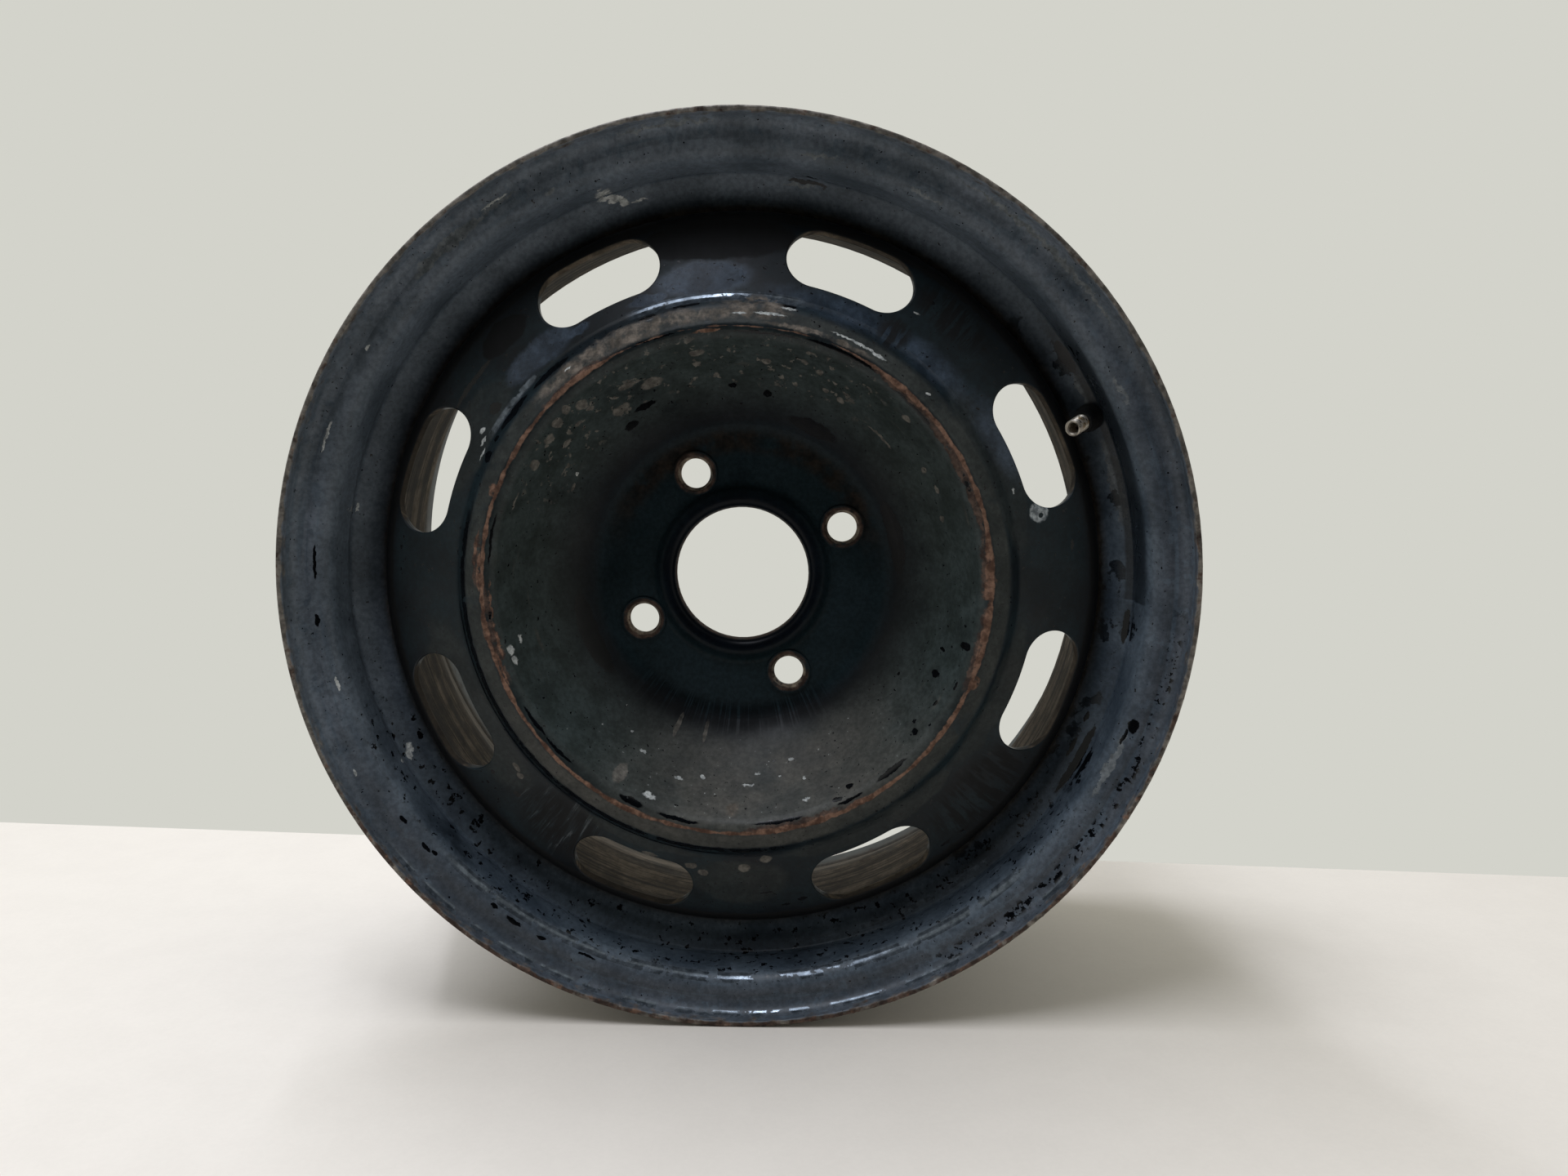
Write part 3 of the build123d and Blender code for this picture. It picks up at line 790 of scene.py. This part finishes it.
    def chip(self, coat: Coat, front: Socket) -> None:
        """Adds the pale chips and scratches, painted glints on the crown, and the tool smear beside a slot.

        Args:
            coat: the material.
            front: the mask of the outboard face.
        """
        chips = (
            Patch(160.8, 108.6, 1.08, 0.81), Patch(163.6, 108.8, 1.22, 0.94), Patch(165.4, 104.8, 1.22, 0.54),
            Patch(74.6, 92.0, 0.81, 0.68), Patch(72.0, 100.0, 0.54, 0.41), Patch(72.4, 106.6, 0.94, 0.54),
            Patch(78.6, 97.0, 0.41, 0.41), Patch(85.0, 95.4, 0.81, 0.41), Patch(87.6, 99.0, 1.62, 0.41),
            Patch(100.6, 97.6, 0.68, 0.54), Patch(107.0, 99.8, 1.35, 0.54), Patch(119.2, 96.2, 1.08, 0.41),
            Patch(125.0, 92.0, 0.41, 0.41), Patch(112.6, 108.0, 1.62, 0.81), Patch(212.6, 91.6, 0.54, 0.54),
            Patch(207.0, 130.2, 1.35, 0.41), Patch(209.4, 132.6, 1.08, 0.54), Patch(211.0, 135.6, 0.68, 1.08),
            # Painted highlight: the marks at 271 and 277.4 degrees on the crown are glints; the others are
            # chips and scratches.
            Patch(296.2, 121.0, 5.13, 0.47), Patch(302.0, 120.6, 1.62, 0.68), Patch(271.0, 121.5, 1.49, 0.54),
            Patch(277.4, 122.0, 3.24, 0.54), Patch(315.0, 121.4, 0.54, 0.54), Patch(341.2, 132.8, 0.54, 0.41),
            Patch(303.6, 146.8, 0.54, 0.54), Patch(232.4, 122.6, 0.81, 0.41), Patch(281.0, 125.6, 1.62, 0.54),
        )
        low = coat.sector((45.0, 135.0), (84.0, 111.0), (10.0, 3.0))
        low = coat.both(low, coat.islands(Grain.SPECK, 0.03, 0.03, 1))
        pale = coat.either(coat.ovals(chips, 2.2, Grain.SPECK, 0.2), low)
        coat.lay(PALE_CHIPS_AND_GLINTS, coat.both(front, pale))
        hairs = coat.step(coat.noise(Grain.SPECK, 0, Lie.ROUND), 0.62, 0.72)
        bowl = coat.band(coat.radius, 84.0, 112.0, 3.0)
        coat.lay(PALE_FILM_AND_LIGHT, coat.both(front, hairs, bowl, coat.islands(Grain.COARSE, 0.50, 0.08), 0.6))
        # Painted highlight: pale shiny dashes on the crown's bend at the top and upper left, where the
        # overhead lamps glint.
        glint_bend = coat.either(
            coat.sector((249.0, 283.0), (127.4, 131.4), (2.0, 0.4)),
            coat.sector((212.0, 227.0), (129.0, 132.0), (2.0, 0.4)),
        )
        coat.lay(RUBBED_AND_GLINT, coat.both(front, glint_bend, coat.step(coat.noise(Grain.SMALL, 1), 0.40, 0.46)))
        smear = coat.ovals((Patch(346.6, 142.0, 1.9, 4.4),), 2.6, Grain.FINE, 0.12)
        gap = coat.ovals((Patch(347.3, 142.6, 0.5, 1.2),), 1.6, Grain.FINE, 0.2)
        coat.lay(SMEAR, coat.both(front, smear, coat.math("SUBTRACT", 1.0, gap)))

    def holes(self, coat: Coat) -> None:
        """Rubs the bolt holes' edges and the bore's mouth.

        Each hole's distance is taken from its own axis: the hole's middle is taken from the place
        and what is left is measured across the wheel's axis.

        Args:
            coat: the material.
        """
        nearest: Value = 99.0
        for turn in range(4):
            a = math.radians(self.bolt_clock + 90.0 * turn)
            middle = (-self.bolt_circle_mm * math.cos(a), 0.0, -self.bolt_circle_mm * math.sin(a))
            inputs = {0: coat.place, 1: (1.0, 0.0, 1.0), 2: middle}
            apart = coat.node("VectorMath", inputs, operation="MULTIPLY_ADD")
            distance = coat.node("VectorMath", {0: apart}, 1, operation="LENGTH")
            nearest = coat.math("MINIMUM", nearest, distance)
        ragged = coat.math("MULTIPLY_ADD", coat.noise(Grain.FINE, 1), 1.6, nearest)
        bore = coat.math("MULTIPLY_ADD", coat.noise(Grain.SMALL), 0.8, coat.radius)
        mouth = coat.step(bore, 33.6, 33.0)
        edges = coat.either(coat.step(ragged, 11.4, 10.2), mouth)
        coat.lay(OLD_RUST, coat.both(edges, coat.islands(Grain.SMALL, 0.70, 0.10)))
        rubbed = coat.step(ragged, 9.5, 8.9)
        coat.lay(WORN_EDGE, coat.both(rubbed, coat.islands(Grain.FINE, 0.60, 0.08)))

    def back(self, coat: Coat, behind: Socket, skirt: Socket) -> None:
        """Covers the back with brake dirt, and leaves the hub pad rubbed.

        Args:
            coat: the material.
            behind: the mask of the inboard face.
            skirt: the mask of the turned flange's inner side.
        """
        fine = coat.both(coat.step(coat.noise(Grain.SPECK, 0, Lie.ROUND), 0.62, 0.50), 0.8)
        wide = coat.step(coat.noise(Grain.SMALL, 0, Lie.ROUND), 0.58, 0.46)
        soot = coat.both(behind, coat.islands(Grain.COARSE, 0.80, 0.20))
        coat.lay(DARK_STREAK, coat.either(skirt, soot))
        dusty = coat.both(behind, coat.islands(Grain.MIDDLE, 0.36, 0.16), 0.7)
        coat.lay(BARREL_DIRT, coat.either(coat.both(skirt, wide, fine), dusty))
        pad = coat.both(behind, coat.step(coat.radius, 71.0, 69.0))
        coat.lay(BARE_LIP, coat.both(pad, coat.islands(Grain.MIDDLE, 0.46, 0.14, 1), 0.8))
        scale = coat.either(
            coat.both(behind, coat.islands(Grain.SMALL, 0.20, 0.06)),
            coat.both(pad, coat.islands(Grain.SMALL, 0.42, 0.08, 1)),
        )
        coat.lay(OLD_RUST, scale)
        coat.lay(RUST, coat.both(behind, coat.islands(Grain.FINE, 0.12, 0.05), 0.7))

    def dress(self) -> None:
        """Gives the CAD node its paint."""
        dress_node(self.node, self.paint())


@dataclass
class Valve:
    """The snap-in valve: its CAD rubber body, and a stem with its thread cut."""

    body: str = "valve_body"
    stem: str = "valve_stem"
    seat_m: Point = (0.16408, -0.04876, 0.07617)
    axis: Point = (-0.52621, -0.81452, -0.24426)
    foot_mm: float = -9.45
    thread_from_mm: float = 11.02
    reach_mm: float = 22.0
    shank_mm: float = 2.9
    thread_mm: float = 3.85
    pitch_mm: float = 0.794
    cut_mm: float = 0.42
    chamfer_mm: float = 0.5
    mouth_mm: float = 3.0
    chamber_mm: float = 2.4
    chamber_floor_mm: float = 14.0
    bore_mm: float = 2.0
    around: int = 96

    def profile(self) -> np.ndarray:
        """Gives the stem's closed section: radius, height and how deep the thread is cut.

        Returns:
            Rows of radius, height in millimetres and thread weight.
        """
        thread = np.linspace(self.thread_from_mm + 0.3, self.reach_mm - self.chamfer_mm, 170)
        ramp = np.clip(np.minimum(thread - thread[0], thread[-1] - thread) / self.pitch_mm, 0.0, 1.0)
        run = np.column_stack([np.full_like(thread, self.thread_mm), thread, ramp])
        inner = [
            (self.thread_mm - self.chamfer_mm, self.reach_mm, 0.0),
            (self.mouth_mm, self.reach_mm, 0.0),
            (self.chamber_mm, self.reach_mm - 0.8, 0.0),
            (self.chamber_mm, self.chamber_floor_mm, 0.0),
            (self.bore_mm, self.chamber_floor_mm - 0.8, 0.0),
            (self.bore_mm, self.foot_mm, 0.0),
            (self.shank_mm, self.foot_mm, 0.0),
            (self.shank_mm, self.thread_from_mm, 0.0),
            (self.thread_mm, self.thread_from_mm, 0.0),
        ]
        return np.vstack([run, np.array(inner)])

    def build_stem(self) -> bpy.types.Object:
        """Builds the stem as a closed section turned about the valve's axis.

        A point at height h and turn t lies at the section's radius less the thread's cut, which
        is a triangle wave of h / pitch - t / full turn.

        Returns:
            The stem.
        """
        section = self.profile()
        turn = np.linspace(0.0, 2.0 * math.pi, self.around, endpoint=False)
        phase = (section[:, 1, None] / self.pitch_mm - turn[None, :] / (2.0 * math.pi)) % 1.0
        cut = np.abs(2.0 * phase - 1.0) * self.cut_mm * section[:, 2, None]
        radius = section[:, 0, None] - cut
        axis = np.array(self.axis) / np.linalg.norm(self.axis)
        side = np.cross(axis, [0.0, 1.0, 0.0])
        side /= np.linalg.norm(side)
        third = np.cross(axis, side)
        spread = np.cos(turn)[:, None] * side + np.sin(turn)[:, None] * third
        points = radius[:, :, None] * spread[None] + section[:, 1, None, None] * axis
        points = points * 0.001 + np.array(self.seat_m)
        piece = closed_ring("threaded_stem", points)
        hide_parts(self.stem)
        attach(piece, "root")
        return piece

    def rubber(self) -> bpy.types.Material:
        """Builds moulded black rubber: dull, with pale dust in its skin.

        Returns:
            The material.
        """
        skin = Finish("#17191b", "#0d0f10", Grain.FINE, 0.68)
        dust = Finish("#2b2c2b", "#202120", Grain.FINE, 0.85)
        coat = Coat("moulded_black_rubber", skin, 91.0)
        coat.lay(dust, coat.islands(Grain.FINE, 0.46, 0.10))
        return coat.close(0.006)

    def brass(self) -> bpy.types.Material:
        """Builds nickel-plated brass: pale, dulled, with dirt and brass showing through.

        Returns:
            The material.
        """
        plate = Finish("#ded6c8", "#b9b0a2", Grain.FINE, 0.38, 0.6)
        worn = Finish("#a98f68", "#7d6a4e", Grain.FINE, 0.45, 0.8)
        grime = Finish("#3b3630", "#26231f", Grain.FINE, 0.80)
        coat = Coat("nickel_plated_brass", plate, 131.0)
        coat.lay(worn, coat.islands(Grain.FINE, 0.34, 0.05))
        coat.lay(grime, coat.islands(Grain.SPECK, 0.30, 0.06))
        return coat.close(0.002)

    def dress(self) -> None:
        """Builds the stem and gives both pieces their finishes."""
        dress_node(self.body, self.rubber())
        piece = self.build_stem()
        piece.data.materials.append(self.brass())
        LOG.info("piece %s", piece.name)


@dataclass
class Studio:
    """The camera, the pale table, the soft light and the world."""

    camera_m: Point = (0.0369, -0.6303, 0.0707)
    look: Point = (-0.0271, 0.991, -0.129)
    sensor_mm: float = 36.0
    focal_px: float = 1499.8
    image_px: tuple[int, int] = (1920, 1440)
    floor_m: float = -0.2074
    table_back_m: float = 0.157
    table_deep_m: float = 0.70
    table_half_m: float = 2.6
    table_turn: float = -4.3
    flag_half_m: float = 1.2
    flag_behind_m: float = -1.2
    flag_z_m: Span = (-1.2, 2.5)
    lamp_colour: str = "#eef3ff"
    room_colour: str = "#d3d3cb"

    def camera(self) -> None:
        """Sets the camera where the photograph was taken from."""
        data = bpy.data.cameras.new("camera")
        data.sensor_width = self.sensor_mm
        data.lens = self.focal_px / self.image_px[0] * data.sensor_width
        camera = bpy.data.objects.new("camera", data)
        turn = Vector(self.look).normalized().to_track_quat("-Z", "Y").to_matrix().to_4x4()
        camera.matrix_world = Matrix.Translation(self.camera_m) @ turn
        bpy.context.collection.objects.link(camera)
        bpy.context.scene.camera = camera

    def table(self) -> None:
        """Lays the pale table top, a flat sheet that ends behind the wheel."""
        turn = math.radians(self.table_turn)
        along = np.array([math.cos(turn), math.sin(turn), 0.0])
        near = np.array([math.sin(turn), -math.cos(turn), 0.0])
        middle = np.array([0.0, self.table_back_m, self.floor_m])
        u, v = np.meshgrid([-self.table_half_m, self.table_half_m], [0.0, self.table_deep_m])
        points = middle + u[..., None] * along + v[..., None] * near
        mesh = bpy.data.meshes.new("table")
        mesh.from_pydata([tuple(p) for p in points.reshape(-1, 3)], [], [(0, 2, 3, 1)])
        table = bpy.data.objects.new("table", mesh)
        bpy.context.collection.objects.link(table)
        laminate = Finish("#e5ded5", "#e3dcd3", Grain.COARSE, 0.55)
        coat = Coat("white_laminate", laminate, 171.0)
        mesh.materials.append(coat.close(0.004, 0.05))

    def lamp(self, name: str, place_m: Point, size_m: Span, watts: float) -> None:
        """Hangs an area lamp and turns it to the wheel.

        Args:
            name: the lamp's name.
            place_m: where it hangs.
            size_m: its length and width.
            watts: its power.
        """
        data = bpy.data.lights.new(name, "AREA")
        data.shape = "RECTANGLE"
        data.size, data.size_y = size_m
        data.energy = watts
        data.color = linear(self.lamp_colour)[:3]
        lamp = bpy.data.objects.new(name, data)
        place = Vector(place_m)
        turn = (-place).to_track_quat("-Z", "Y").to_matrix().to_4x4()
        lamp.matrix_world = Matrix.Translation(place) @ turn
        bpy.context.collection.objects.link(lamp)

    def light(self) -> None:
        """Hangs a soft box and a tube overhead, sets a pale world and a black flag.

        The flag stands behind the camera, unseen, and keeps the paint black where it would only
        mirror the pale room.
        """
        scene = bpy.context.scene
        scene.view_settings.view_transform = "Standard"
        world = bpy.data.worlds.new("pale_room")
        world.use_nodes = True
        back = world.node_tree.nodes["Background"]
        back.inputs["Color"].default_value = linear(self.room_colour)
        back.inputs["Strength"].default_value = 1.0
        scene.world = world
        self.lamp("soft_box", (-0.45, -0.12, 1.4), (1.6, 0.6), 18.0)
        self.lamp("tube", (-0.25, -0.05, 1.3), (1.3, 0.035), 7.0)
        (low, high), side, behind = self.flag_z_m, self.flag_half_m, self.flag_behind_m
        across = ((-side, low), (side, low), (side, high), (-side, high))
        corners = [(x, behind, z) for x, z in across]
        mesh = bpy.data.meshes.new("black_flag")
        mesh.from_pydata(corners, [], [(0, 1, 2, 3)])
        flag = bpy.data.objects.new("black_flag", mesh)
        flag.visible_camera = False
        bpy.context.collection.objects.link(flag)
        cloth = Finish("#101010", "#0c0c0c", Grain.COARSE, 0.9)
        mesh.materials.append(Coat("black_cloth", cloth, 7.0).close(0.0))


def closed_ring(name: str, points: np.ndarray) -> bpy.types.Object:
    """Joins a grid that closes both ways into a mesh object.

    Args:
        name: the piece's name.
        points: rows by columns by three, in metres.

    Returns:
        The piece, smooth shaded.
    """
    rows, columns = points.shape[:2]
    index = np.arange(rows * columns).reshape(rows, columns)
    right, below = np.roll(index, -1, 1), np.roll(index, -1, 0)
    faces = np.stack([index, right, np.roll(below, -1, 1), below], -1).reshape(-1, 4)
    mesh = bpy.data.meshes.new(name)
    mesh.from_pydata(points.reshape(-1, 3).tolist(), [], faces.tolist())
    mesh.polygons.foreach_set("use_smooth", np.ones(len(faces), dtype=bool))
    mesh.update()
    piece = bpy.data.objects.new(name, mesh)
    bpy.context.collection.objects.link(piece)
    return piece


def dress_node(name: str, material: bpy.types.Material) -> None:
    """Puts a material on a CAD node.

    Args:
        name: the node.
        material: its finish.
    """
    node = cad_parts[name]
    node.data.materials.clear()
    node.data.materials.append(material)
    LOG.info("node %s wears %s", name, material.name)


def main() -> None:
    """Builds the wheel's parts in order, then the studio."""
    logging.basicConfig(level=logging.INFO, format="%(name)s: %(message)s")
    studio = Studio()
    studio.camera()
    for assembly in (Rim(), Disc(), Valve()):
        assembly.dress()
    studio.table()
    studio.light()


if __name__ == "__main__":
    main()
